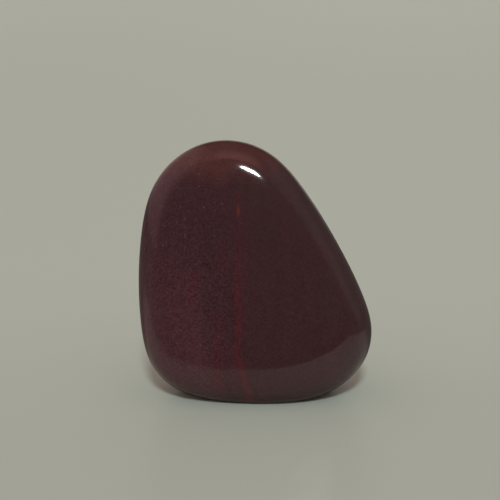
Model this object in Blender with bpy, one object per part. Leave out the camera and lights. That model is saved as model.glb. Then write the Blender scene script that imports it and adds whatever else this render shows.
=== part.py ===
"""A tumbled and polished mookaite pebble, standing on the flat that tumbling wore on its lower edge.

It is one solid: a rounded wedge of jasper, thicker at its foot, with a nearly flat front and a fuller back.
Metres, +Z up. The front looks along -Y and the origin is on the ground under the middle of the stone.
"""

import math

import bmesh
import bpy
import numpy as np

MM = 0.001

# Driving sizes of the finished stone, in millimetres
WIDTH = 32.8
THICKNESS = 15.0
HEIGHT = 36.0

# The outline seen from the front: four round corners, each as its middle's place across, its middle's
# height and its radius, and how softly they run into each other
CROWN = (-4.2, 24.5, 11.1)
TIP = (8.5, 10.8, 7.3)
SOLE = (2.6, 9.4, 7.8)
HEEL = (-8.2, 10.2, 7.4)
SOFTNESS = 1.1
MIDDLE_HEIGHT = 16.6

# The section from the front to the back: a superellipse, flat on its faces and round at its edge
FRONT_DEPTH = 6.3
BACK_DEPTH = 6.8
FRONT_FLATNESS = 5.5
BACK_FLATNESS = 2.8
EDGE_ROUNDNESS = 2.0

# How much thinner each side grows over the whole height, and how far the stone leans back
FRONT_TAPER = 0.6
BACK_TAPER = 0.15
LEAN = math.radians(1.5)

# The flat under the foot, and how softly it runs into the sides
FOOT_WEAR = 1.60
FOOT_BLEND = 0.40

GRID = 24
SECTION_STEPS = 400
OUTLINE_STEPS = 2000
BURGUNDY = (0.055, 0.017, 0.020, 1.0)
POLISH_ROUGHNESS = 0.1


def clear_scene():
    for obj in list(bpy.data.objects):
        bpy.data.objects.remove(obj, do_unlink=True)


def edge_radius(angle):
    """The outline's radius at each angle. The outline is a soft hull around the round corners."""
    turn = np.linspace(-math.pi, math.pi, OUTLINE_STEPS)
    across, up = np.cos(turn), np.sin(turn)
    x, height, corner_radius = np.array([CROWN, TIP, SOLE, HEEL]).T[:, :, None]
    z = height - MIDDLE_HEIGHT

    # How far out the hull's tangent lies in each direction, and how far along it the outline touches it
    pull = np.exp((x * across + z * up + corner_radius) / SOFTNESS)
    reach = SOFTNESS * np.log(pull.sum(axis=0))
    slide = ((z * across - x * up) * pull).sum(axis=0) / pull.sum(axis=0)
    edge_x = reach * across - slide * up
    edge_z = reach * up + slide * across
    return np.interp(angle, np.arctan2(edge_z, edge_x), np.hypot(edge_x, edge_z), period=2 * math.pi)


def section(depth, flatness, reach):
    """One side's section from the face's middle to the edge: how far along, share of radius, and depth."""
    turn = np.linspace(0.0, math.pi / 2, SECTION_STEPS)
    share = np.sin(turn) ** (2 / flatness)
    out = depth * np.cos(turn) ** (2 / EDGE_ROUNDNESS)
    steps = np.hypot(np.diff(share) * reach, np.diff(out))
    along = np.concatenate([[0.0], np.cumsum(steps)])
    return along / along[-1], share, out


def pillow(directions):
    """The stone before its foot is worn flat: each direction of a ball goes to a point of its surface."""
    across, depth, up = directions.T
    angle = np.arctan2(up, across)
    from_face = np.arccos(np.abs(depth)) / (math.pi / 2)
    radius = edge_radius(angle)
    points = np.empty_like(directions)
    share = np.empty_like(angle)
    taper = np.empty_like(angle)
    for side, full, flatness, thinner in (
        (-1, FRONT_DEPTH, FRONT_FLATNESS, FRONT_TAPER),
        (1, BACK_DEPTH, BACK_FLATNESS, BACK_TAPER),
    ):
        along, shares, outs = section(full, flatness, np.mean(radius))
        on_side = depth * side >= 0
        share[on_side] = np.interp(from_face[on_side], along, shares)
        points[on_side, 1] = side * np.interp(from_face[on_side], along, outs)
        taper[on_side] = thinner
    points[:, 0] = share * radius * np.cos(angle)
    points[:, 2] = share * radius * np.sin(angle)
    points[:, 1] *= 1 - taper * points[:, 2] / HEIGHT
    return points


def leaned_back(points):
    """The stone turned back about its foot, and lifted so that its middle is at MIDDLE_HEIGHT."""
    across, depth, up = points.T
    turned = np.stack(
        [
            across,
            depth * math.cos(LEAN) + up * math.sin(LEAN),
            up * math.cos(LEAN) - depth * math.sin(LEAN) + MIDDLE_HEIGHT,
        ],
        axis=1,
    )
    return turned


def worn_flat(points):
    """The foot worn down to a plane, with a soft blend into the sides."""
    floor = points[:, 2].min() + FOOT_WEAR
    over = points[:, 2] - floor
    soft = (over + FOOT_BLEND) ** 2 / (4 * FOOT_BLEND)
    points[:, 2] = np.where(over > FOOT_BLEND, over, np.where(over < -FOOT_BLEND, 0.0, soft))
    return points


def fitted(points):
    """The stone at its driving sizes, with the origin under its middle."""
    low, high = points.min(axis=0), points.max(axis=0)
    points = (points - (low + high) / 2) * (np.array([WIDTH, THICKNESS, HEIGHT]) / (high - low))
    points[:, 2] += HEIGHT / 2
    return points


def stone_mesh():
    """A cube divided into a fine grid, rounded into a ball, and shaped into the stone."""
    bm = bmesh.new()
    bmesh.ops.create_cube(bm, size=2.0)
    bmesh.ops.subdivide_edges(bm, edges=bm.edges, cuts=GRID - 1, use_grid_fill=True)
    grid = np.array([v.co for v in bm.verts], dtype=float)
    directions = np.tan(grid * math.pi / 4)
    directions /= np.linalg.norm(directions, axis=1)[:, None]
    points = fitted(worn_flat(leaned_back(pillow(directions)))) * MM
    for vert, point in zip(bm.verts, points):
        vert.co = point
    bmesh.ops.recalc_face_normals(bm, faces=bm.faces)
    mesh = bpy.data.meshes.new("stone")
    bm.to_mesh(mesh)
    bm.free()
    mesh.shade_smooth()
    return mesh


def jasper():
    material = bpy.data.materials.new("polished_burgundy_jasper")
    material.use_nodes = True
    shader = material.node_tree.nodes["Principled BSDF"]
    shader.inputs["Base Color"].default_value = BURGUNDY
    shader.inputs["Roughness"].default_value = POLISH_ROUGHNESS
    shader.inputs["Metallic"].default_value = 0.0
    return material


def main():
    clear_scene()
    collection = bpy.data.collections.new("mookaite")
    bpy.context.scene.collection.children.link(collection)
    stone = bpy.data.objects.new("stone", stone_mesh())
    stone.data.materials.append(jasper())
    collection.objects.link(stone)


main()
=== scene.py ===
"""A tumbled and polished pebble of burgundy mookaite, standing on its worn foot on a pale table."""

import math

import bmesh
import bpy
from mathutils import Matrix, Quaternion, Vector, noise


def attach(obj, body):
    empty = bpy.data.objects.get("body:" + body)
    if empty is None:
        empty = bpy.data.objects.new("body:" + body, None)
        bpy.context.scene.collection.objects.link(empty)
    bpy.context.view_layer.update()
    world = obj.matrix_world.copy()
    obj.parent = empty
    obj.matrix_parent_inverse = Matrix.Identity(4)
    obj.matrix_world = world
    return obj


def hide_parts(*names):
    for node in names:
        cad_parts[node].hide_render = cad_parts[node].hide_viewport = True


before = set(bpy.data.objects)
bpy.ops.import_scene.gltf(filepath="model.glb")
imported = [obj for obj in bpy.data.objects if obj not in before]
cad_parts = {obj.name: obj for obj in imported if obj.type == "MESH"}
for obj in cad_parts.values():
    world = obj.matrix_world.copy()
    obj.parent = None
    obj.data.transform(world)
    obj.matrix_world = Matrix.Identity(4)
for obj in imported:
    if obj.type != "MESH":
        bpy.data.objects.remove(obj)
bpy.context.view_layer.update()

MM = 0.001

# The camera: 15 degrees above the table, a little left of the stone's middle
LENS = 85.0
CAMERA_TARGET = Vector((-0.0008, 0.0, 0.0207))
CAMERA_ELEVATION = 15.0
CAMERA_DISTANCE = 0.1640
CAMERA_CLIP = 0.01

# The stone's surface: how finely it is divided, and the slow swells that tumbling leaves
DIVISIONS = 2
SWELL_HEIGHT = 0.016 * MM
SWELL_LENGTH = 7.0 * MM
FOOT_CLEAR = 3.0 * MM
MERGE_DISTANCE = 0.001 * MM
QUAD_LIMIT = math.radians(40.0)
STONE_IOR = 1.54

# The markings, in millimetres: where the veins stand, the grains' size and how far apart the pits are.
# A side vein has its place across, its lower and upper end and the seed of its wandering.
MAIN_VEIN_AT = -2.4
MAIN_VEIN_SEED = 4.0
SIDE_VEINS = ((-8.6, 14.0, 19.5, 6.0), (-5.2, 2.0, 13.0, 7.0))
GRAIN_SIZE = 0.5
PIT_SPACING = 3.1

# Colours of the jasper
# The plum is the stone's own pinker colour, and its lighter tone also paints in light falling from the left
PLUM_AND_LEFT_LIGHT = (0.0760, 0.0285, 0.0335)
BURGUNDY = (0.0555, 0.0218, 0.0252)
BROWN = (0.0545, 0.0220, 0.0244)
OLIVE = (0.0500, 0.0238, 0.0228)
# Painted highlight, not a colour of the jasper: the warm sheen of overhead light along the top
PAINTED_TOP_SHEEN = (0.080, 0.0285, 0.0270)
VEIN_RED = (0.105, 0.0190, 0.0230)
VEIN_ORANGE = (0.135, 0.0300, 0.0200)
PALE_GRAIN = (0.150, 0.0800, 0.0900)
SPECKLE = (0.105, 0.0580, 0.0630)
# Painted shade for the hollows of the polish pits
PAINTED_PIT_SHADE = (0.018, 0.0080, 0.0090)

# The table, the wall behind it and the light
TABLE_GREY = (0.530, 0.532, 0.460)
SKY = (0.45, 0.375, 0.35)
LAMP_TINT = (0.80, 0.98, 1.0)
FILL_TINT = (1.0, 0.72, 0.72)
STONE_MIDDLE = Vector((0.0, 0.0, 0.018))
GLINT_PLACE = Vector((-0.0008, -0.0030, 0.0326))
BLACK = (0.0, 0.0, 0.0)
TABLE_REACH = 2.5
TABLE_ROUGHNESS = 0.34
TABLE_IOR = 1.45
VEIL_HEIGHT = 0.4 * MM
ROOM_RADIUS = 2.4
LEFT_GLOW = (0.50, 0.31, 0.31)
RIGHT_GLOW = (0.15, 0.16, 0.145)
CEILING_GLOW = (0.68, 0.30, 0.25)
WALL_GLOW = (0.36, 0.355, 0.30)

# The lamps: each one's azimuth and elevation in degrees, its power, and how wide it is. The sun lamps'
# width is an angle, and the glint's card is an ellipse with a length, a breadth and a roll.
LAMP_DISTANCE = 0.4
KEY_WAY = (1.5, 47.0)
KEY_POWER = 1.68
KEY_WIDTH = math.radians(9.0)
FILL_WAY = (-96.0, 8.0)
FILL_POWER = 0.34
FILL_WIDTH = math.radians(40.0)
GLINT_WAY = (18.3, 44.2)
GLINT_POWER = 1.1
GLINT_LENGTH = 0.094
GLINT_BREADTH = 0.029
GLINT_ROLL = -30.0
WHITE = (1, 1, 1)


class Amount:
    """A number that varies over a surface. Python's operators on it add Math nodes."""

    def __init__(self, finish, socket):
        self.finish = finish
        self.socket = socket

    def maths(self, operation, *values):
        return self.finish.number("ShaderNodeMath", {"operation": operation}, dict(enumerate(values)))

    def __add__(self, other):
        return self.maths("ADD", self, other)

    def __sub__(self, other):
        return self.maths("SUBTRACT", self, other)

    def __rsub__(self, other):
        return self.maths("SUBTRACT", other, self)

    def __mul__(self, other):
        return self.maths("MULTIPLY", self, other)

    def __truediv__(self, other):
        return self.maths("DIVIDE", self, other)

    def __pow__(self, other):
        return self.maths("POWER", self, other)

    def __abs__(self):
        return self.maths("ABSOLUTE", self)

    def at_least(self, other):
        return self.maths("MAXIMUM", self, other)

    __radd__ = __add__
    __rmul__ = __mul__


class Finish:
    """One material's nodes. Lengths inside it are millimetres from the ground under the stone's middle."""

    def __init__(self, name):
        self.material = bpy.data.materials.new(name)
        self.material.use_nodes = True
        self.tree = self.material.node_tree
        self.tree.nodes.clear()

    def add(self, kind, settings=None, inputs=None):
        """A node of that type, with its settings, and the values or links of its sockets."""
        node = self.tree.nodes.new(kind)
        for name, value in (settings or {}).items():
            setattr(node, name, value)
        for name, value in (inputs or {}).items():
            if isinstance(value, Amount):
                value = value.socket
            if isinstance(value, bpy.types.NodeSocket):
                self.tree.links.new(value, node.inputs[name])
            elif isinstance(value, tuple) and len(value) == 3 and node.inputs[name].type == "RGBA":
                node.inputs[name].default_value = (*value, 1.0)
            else:
                node.inputs[name].default_value = value
        return node

    def number(self, kind, settings=None, inputs=None):
        return Amount(self, self.add(kind, settings, inputs).outputs[0])

    def place(self, stretch=(1.0, 1.0, 1.0)):
        """Object coordinates in millimetres. A pattern is drawn out along an axis with a stretch below 1."""
        coordinates = self.add("ShaderNodeTexCoord").outputs["Object"]
        scale = Vector(stretch) / MM
        return self.vector("MULTIPLY", coordinates, tuple(scale))

    def vector(self, operation, first, second):
        return self.add("ShaderNodeVectorMath", {"operation": operation}, {0: first, 1: second}).outputs[0]

    def parts(self, place):
        split = self.add("ShaderNodeSeparateXYZ", inputs={0: place})
        return [Amount(self, socket) for socket in split.outputs]

    def cloud(self, place, size, detail=2.0, rough=0.5, seed=0.0, bend=0.0):
        """Smooth noise about 0.5 with blobs of that size."""
        return self.number(
            "ShaderNodeTexNoise",
            {"noise_dimensions": "4D"},
            {
                "Vector": place,
                "W": seed,
                "Scale": 1 / size,
                "Detail": detail,
                "Roughness": rough,
                "Distortion": bend,
            },
        )

    def grains(self, place, size, output="Distance"):
        """Cells of that size: the distance to each cell's middle, or a random colour for each cell."""
        return self.add("ShaderNodeTexVoronoi", inputs={"Vector": place, "Scale": 1 / size}).outputs[output]

    def band(self, value, low, high, to_low=0.0, to_high=1.0):
        """An easy step from to_low, where value is low, to to_high, where it is high."""
        return self.number(
            "ShaderNodeMapRange",
            {"interpolation_type": "SMOOTHSTEP"},
            {"Value": value, "From Min": low, "From Max": high, "To Min": to_low, "To Max": to_high},
        )

    def mix(self, share, first, second, blend="MIX"):
        """The first colour, or the second where share is 1."""
        settings = {"data_type": "RGBA", "blend_type": blend}
        return self.add("ShaderNodeMix", settings, {0: share, 6: first, 7: second}).outputs[2]

    def heading(self, across, depth):
        """Which way a point lies from the stone, in degrees: 0 is to the front, 90 to the right."""
        return across.maths("ARCTAN2", across, 0 - depth) * math.degrees(1.0)

    def shaded(self, colour, shade):
        """The colour made lighter or darker by a number about 1."""
        grey = self.add("ShaderNodeCombineXYZ", inputs={0: shade, 1: shade, 2: shade}).outputs[0]
        return self.vector("MULTIPLY", colour, grey)

    def surface(self, inputs):
        shader = self.add("ShaderNodeBsdfPrincipled", inputs=inputs)
        self.add("ShaderNodeOutputMaterial", inputs={0: shader.outputs[0]})
        return self.material


def vein(m, across, at, wander, seed):
    """How far each point is from an upright vein, in millimetres. The vein wanders as it rises."""
    slow = m.cloud(m.place((0.0, 0.4, 1.0)), size=8.0, detail=2.0, seed=seed)
    jagged = m.cloud(m.place((0.3, 0.6, 1.0)), size=1.3, detail=4.0, rough=0.7, seed=seed + 0.5)
    return abs(across - at - (slow - 0.5) * wander - (jagged - 0.5) * 0.7)


def burgundy_jasper():
    """Burgundy, plum and brown clouds in soft upright bands, red veins, pale grains and a few polish pits."""
    m = Finish("burgundy_jasper")
    place = m.place()
    across, _, up = m.parts(place)

    # Broad clouds, and soft bands that run upright through the stone
    broad = m.cloud(place, size=11.0, detail=3.0, bend=0.4, seed=1.0)
    upright = m.cloud(m.place((1.0, 1.0, 0.14)), size=2.0, detail=4.0, rough=0.55, bend=0.3, seed=2.0)
    mottle = m.cloud(place, size=1.5, detail=5.0, rough=0.65, seed=3.0)
    fine = m.cloud(place, size=0.26, detail=2.0, rough=0.8, seed=3.5)

    # The plum side on the left: the stone's own colour, made lighter as painted light from the left
    plum_and_left_light_side = m.band(across + up * 0.16 + (broad - 0.5) * 6 + (upright - 0.5) * 3, -2.5, -7.5)
    plum_and_left_light_side = plum_and_left_light_side * m.band(up + (broad - 0.5) * 6, 26.0, 9.0, 0.12, 1.0)
    brown_side = m.band(across + (broad - 0.5) * 8, -3.0, 1.0)
    colour = m.mix(plum_and_left_light_side, m.mix(brown_side, BURGUNDY, BROWN), PLUM_AND_LEFT_LIGHT)
    olive = m.band(broad + (mottle - 0.5) * 0.4, 0.50, 0.66) * brown_side * m.band(up, 8.0, 16.0)
    colour = m.mix(olive * 0.5, colour, OLIVE)

    # A painted highlight: the top made lighter and warmer, standing in for the sheen of overhead light
    top_sheen = m.band(up + (broad - 0.5) * 4 + (upright - 0.5) * 3, 30.8, 34.0)
    colour = m.mix(top_sheen, colour, PAINTED_TOP_SHEEN)
    # Warm wisps below it that thicken towards the foot on the left
    wisps = m.band(upright, 0.50, 0.72) * m.band(mottle, 0.38, 0.62)
    colour = m.mix(wisps * m.band(up, 26.0, 8.0, 0.15, 0.50) * (1 - brown_side * 0.7), colour, VEIN_RED)

    # Veins: a halo that comes and goes, and a thin broken line within it
    swell = m.cloud(m.place((0.4, 0.4, 1.0)), size=2.6, detail=3.0, seed=5.0)
    foot_bend = ((9.0 - up) / 9.0).at_least(0.0) ** 1.4 * 2.0
    main = vein(m, across - foot_bend, MAIN_VEIN_AT, 1.2, MAIN_VEIN_SEED)
    beads = m.cloud(place, size=0.55, detail=3.0, rough=0.6, seed=5.5)
    main_strength = m.band(up, 22.0, 10.0, 0.30, 1.0) * m.band(up, 30.5, 28.0)
    halo = m.band(main, 0.85, 0.0) * m.band(swell + (beads - 0.5) * 0.6, 0.30, 0.62, 0.25, 1.0)
    core = m.band(main, 0.30, 0.04) * m.band(beads, 0.42, 0.62)
    colour = m.mix(halo * main_strength * 0.74, colour, VEIN_RED)
    colour = m.mix(core * main_strength * 0.62, colour, VEIN_RED)
    spot = m.band(main + abs(up - 27.4) * 0.35, 0.42, 0.10)
    spark = core * m.band(swell, 0.56, 0.70) * main_strength + spot
    colour = m.mix(spark * 0.8, colour, VEIN_ORANGE)
    for at, low, high, seed in SIDE_VEINS:
        side = m.band(vein(m, across, at, 1.6, seed), 1.1, 0.0)
        reach = m.band(up, low - 2, low + 2) * m.band(up, high + 2, high - 2)
        patches = m.band(swell + (beads - 0.5) * 0.8, 0.35, 0.65, 0.1, 0.5)
        colour = m.mix(side * reach * patches, colour, VEIN_RED)

    # The mottling and the fine grain make every tone a little lighter or darker, more so on the plum side
    strength = m.band(across, 1.0, -8.0, 0.49, 1.08) * m.band(up, 29.0, 16.0, 0.58, 1.0)
    # Painted light: from 8 mm down to 3 mm the tone grows up to 6% lighter, for the light the downturned
    # underside misses
    shade = m.band(up, 8.0, 3.0, 1.0, 1.06) + (mottle - 0.5) * 0.20 + (upright - 0.5) * 0.24
    colour = m.vector("ADD", m.shaded(colour, shade), m.shaded(SPECKLE, (fine - 0.5) * strength))

    # Pale grains, thick on the plum side and sparse elsewhere
    dots = Amount(m, m.grains(place, GRAIN_SIZE))
    chance, paleness, _ = m.parts(m.grains(place, GRAIN_SIZE, output="Color"))
    thick = m.band(across + (broad - 0.5) * 10, 1.0, -9.0, 0.05, 0.34)
    grain = m.band(dots, 0.28, 0.08) * m.band(chance + thick, 0.97, 1.0) * paleness
    colour = m.mix(grain * m.band(across, 1.0, -8.0, 0.25, 0.85), colour, PALE_GRAIN)

    # Polish pits: small, few and far between
    pit_cells = Amount(m, m.grains(place, PIT_SPACING))
    pit_chance = m.parts(m.grains(place, PIT_SPACING, output="Color"))[1]
    pit = m.band(pit_cells, 0.065, 0.030) * m.band(pit_chance, 0.62, 0.66)
    # Painted shade: each pit's colour is darkened, as shade in its hollow
    colour = m.mix(pit * 0.6, colour, PAINTED_PIT_SHADE)

    smears = m.cloud(place, size=6.0, detail=3.0, seed=8.0)
    roughness = m.band(smears, 0.35, 0.70, 0.055, 0.10) + pit * 0.3
    relief = m.cloud(place, size=1.1, detail=2.0, seed=9.0) * 0.25 - pit
    bump = m.add("ShaderNodeBump", inputs={"Strength": 0.25, "Distance": 0.02 * MM, "Height": relief})
    return m.surface(
        {
            "Base Color": colour,
            "Roughness": roughness,
            "Normal": bump.outputs[0],
            "IOR": STONE_IOR,
        }
    )


def pebble(node, finish):
    """The polished stone: the solid's mesh merged and turned back into a grid, eased, swelled and divided."""
    bm = bmesh.new()
    bm.from_mesh(node.data)
    bmesh.ops.remove_doubles(bm, verts=bm.verts, dist=MERGE_DISTANCE)
    bmesh.ops.join_triangles(
        bm, faces=bm.faces, angle_face_threshold=QUAD_LIMIT, angle_shape_threshold=QUAD_LIMIT
    )
    for vert in bm.verts:
        clear = min(vert.co.z / FOOT_CLEAR, 1.0)
        vert.co += vert.normal * (noise.noise(vert.co / SWELL_LENGTH) * SWELL_HEIGHT * clear)
    bm.normal_update()
    mesh = bpy.data.meshes.new("polished_stone")
    bm.to_mesh(mesh)
    bm.free()
    mesh.shade_smooth()
    mesh.materials.append(finish)
    stone = bpy.data.objects.new("polished_stone", mesh)
    bpy.context.scene.collection.objects.link(stone)
    divide = stone.modifiers.new("divide", "SUBSURF")
    divide.levels = divide.render_levels = DIVISIONS
    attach(stone, "root")
    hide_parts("stone")
    return stone


def toward(azimuth, elevation):
    """The direction from the stone: azimuth 0 is to the front, 90 to the right."""
    a, e = math.radians(azimuth), math.radians(elevation)
    return Vector((math.sin(a) * math.cos(e), -math.cos(a) * math.cos(e), math.sin(e)))


def staged(name, mesh, material):
    mesh.materials.append(material)
    thing = bpy.data.objects.new(name, mesh)
    bpy.context.scene.collection.objects.link(thing)
    return thing


def flat_sheet(name, height):
    bm = bmesh.new()
    bmesh.ops.create_grid(bm, x_segments=1, y_segments=1, size=TABLE_REACH)
    bmesh.ops.translate(bm, vec=(0.0, 0.0, height), verts=bm.verts)
    mesh = bpy.data.meshes.new(name)
    bm.to_mesh(mesh)
    bm.free()
    return mesh


def table():
    """A plain pale table with painted light: a little darker in front of the stone, lighter far behind it and
    on the right.
    """
    m = Finish("pale_table")
    across, depth, _ = m.parts(m.place())
    # Painted light: the table's colour grows lighter from the front to far behind, and from left to right
    shade = m.band(depth, -45.0, 60.0, 0.930, 1.01) + m.band(depth, 60.0, 900.0, 0.0, 0.10)
    shade = shade * m.band(across, -120.0, 120.0, 0.985, 1.020)
    colour = m.shaded(TABLE_GREY, shade)
    finish = m.surface({"Base Color": colour, "Roughness": TABLE_ROUGHNESS, "IOR": TABLE_IOR})
    staged("table", flat_sheet("table", 0.0), finish)


def mirrored_only(thing):
    """The thing shows in polished surfaces and nowhere else."""
    thing.visible_camera = thing.visible_diffuse = thing.visible_shadow = thing.visible_transmission = False


def one_sided(m, front):
    """That shader from the front, and nothing from behind."""
    behind = m.add("ShaderNodeNewGeometry").outputs["Backfacing"]
    clear = m.add("ShaderNodeBsdfTransparent").outputs[0]
    both = m.add("ShaderNodeMixShader", inputs={0: behind, 1: front, 2: clear}).outputs[0]
    m.add("ShaderNodeOutputMaterial", inputs={0: both})
    return m.material


def dim_table():
    """Painted shade: a dark veil over the table as the polish mirrors it, so only the part close to the stone
    is bright.
    """
    m = Finish("dim_table")
    across, depth, _ = m.parts(m.place())
    way = m.heading(across, depth)
    reach = (across ** 2 + depth ** 2) ** 0.5
    soft = m.band(across, 0.0, -14.0, 0.7, 7.0)
    bright = m.band(depth + across * 0.32 + 24.0, 0 - soft, soft) * m.band(reach, 85.0, 60.0)
    under = m.band(((across * 0.5) ** 2 + depth ** 2) ** 0.5, 10.0, 6.0, 0.0, 0.5)
    behind = m.band(abs(way), 90.0, 120.0, 0.0, 0.78)
    near = m.band(across, 20.0, -8.0, 0.0, 0.34).at_least(under).at_least(behind)
    far = m.band(abs(way), 50.0, 85.0, 1.0, 0.75)
    clear = m.add("ShaderNodeBsdfTransparent").outputs[0]
    dark = m.add("ShaderNodeEmission", inputs={"Color": BLACK, "Strength": 0.0}).outputs[0]
    both = m.add("ShaderNodeMixShader", inputs={0: far + bright * (near - far), 1: clear, 2: dark}).outputs[0]
    mirrored_only(staged("dim_table", flat_sheet("dim_table", VEIL_HEIGHT), one_sided(m, both)))


def room():
    """The dome that the polish mirrors: soft glows on each side and behind, and a strip overhead."""
    bm = bmesh.new()
    bmesh.ops.create_uvsphere(bm, u_segments=48, v_segments=24, radius=ROOM_RADIUS)
    bmesh.ops.reverse_faces(bm, faces=bm.faces)
    mesh = bpy.data.meshes.new("room")
    bm.to_mesh(mesh)
    bm.free()
    m = Finish("room")
    radius = ROOM_RADIUS / MM
    across, depth, up = m.parts(m.place())
    side, front, high = across / radius, depth / -radius, up / radius
    left = m.band(front, 0.65, 0.20) * m.band(high, -0.05, 0.35, 0.5, 1.0) * m.band(side, -0.20, -0.50)
    left = left * m.band(high, 0.5, 0.75, 1.0, 0.85)
    inner = high * 0.9 + 0.2
    right = m.band(front, inner, inner - 0.35) * m.band(front, -0.5, 0.0, 0.5, 1.0) * m.band(side, 0.3, 0.7)
    right = right * m.band(high, 0.9, 0.7)
    middle = m.band(abs(side - 0.08), 0.5, 0.15)
    strip = m.band(front, 0.52, 0.45) * m.band(front, -0.1, 0.38, 0.1, 1.0) * middle
    glow = m.mix(1.0, m.shaded(LEFT_GLOW, left), m.shaded(RIGHT_GLOW, right), "ADD")
    glow = m.mix(1.0, glow, m.shaded(CEILING_GLOW, strip * m.band(high, 0.6, 0.8)), "ADD")
    glow = m.mix(1.0, glow, m.shaded(WALL_GLOW, m.band(front, -0.82, -0.92)), "ADD")
    light = m.add("ShaderNodeEmission", inputs={"Color": glow, "Strength": 1.0}).outputs[0]
    clear = m.add("ShaderNodeBsdfTransparent").outputs[0]
    both = m.add("ShaderNodeAddShader", inputs={0: light, 1: clear}).outputs[0]
    mirrored_only(staged("room", mesh, one_sided(m, both)))


def lamp(name, kind, way, power, tint, roll=0.0, aim=STONE_MIDDLE, **shape):
    """A lamp that lies that way from its aim and shines at it."""
    light = bpy.data.lights.new(name, kind)
    light.energy = power
    light.color = tint
    for key, value in shape.items():
        setattr(light, key, value)
    thing = bpy.data.objects.new(name, light)
    bpy.context.scene.collection.objects.link(thing)
    thing.location = aim + way * LAMP_DISTANCE
    thing.rotation_mode = "QUATERNION"
    thing.rotation_quaternion = way.to_track_quat("Z", "Y") @ Quaternion((0, 0, 1), math.radians(roll))
    return thing


def studio(stone):
    """A front lamp, a soft sky, and the cards that the polish mirrors."""
    table()
    key = lamp("key", "SUN", toward(*KEY_WAY), KEY_POWER, LAMP_TINT, angle=KEY_WIDTH)
    key.visible_glossy = False
    fill = lamp("fill", "SUN", toward(*FILL_WAY), FILL_POWER, FILL_TINT, angle=FILL_WIDTH)
    fill.visible_glossy = False
    glint = lamp(
        "glint", "AREA", toward(*GLINT_WAY), GLINT_POWER, WHITE, roll=GLINT_ROLL, aim=GLINT_PLACE,
        shape="ELLIPSE", size=GLINT_LENGTH, size_y=GLINT_BREADTH,
    )
    glint.visible_diffuse = False
    glint.light_linking.receiver_collection = bpy.data.collections.new("stone_only")
    glint.light_linking.receiver_collection.objects.link(stone)
    dim_table()
    room()
    world = bpy.data.worlds.new("sky")
    bpy.context.scene.world = world
    world.use_nodes = True
    world.node_tree.nodes["Background"].inputs["Color"].default_value = (*SKY, 1.0)
    world.cycles_visibility.glossy = False
    bpy.context.scene.view_settings.view_transform = "Standard"


def camera():
    data = bpy.data.cameras.new("camera")
    data.lens = LENS
    data.clip_start = CAMERA_CLIP
    eye = bpy.data.objects.new("camera", data)
    back = toward(0.0, CAMERA_ELEVATION)
    eye.location = CAMERA_TARGET + back * CAMERA_DISTANCE
    eye.rotation_mode = "QUATERNION"
    eye.rotation_quaternion = (-back).to_track_quat("-Z", "Y")
    bpy.context.scene.collection.objects.link(eye)
    bpy.context.scene.camera = eye


stone = pebble(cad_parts["stone"], burgundy_jasper())
studio(stone)
camera()
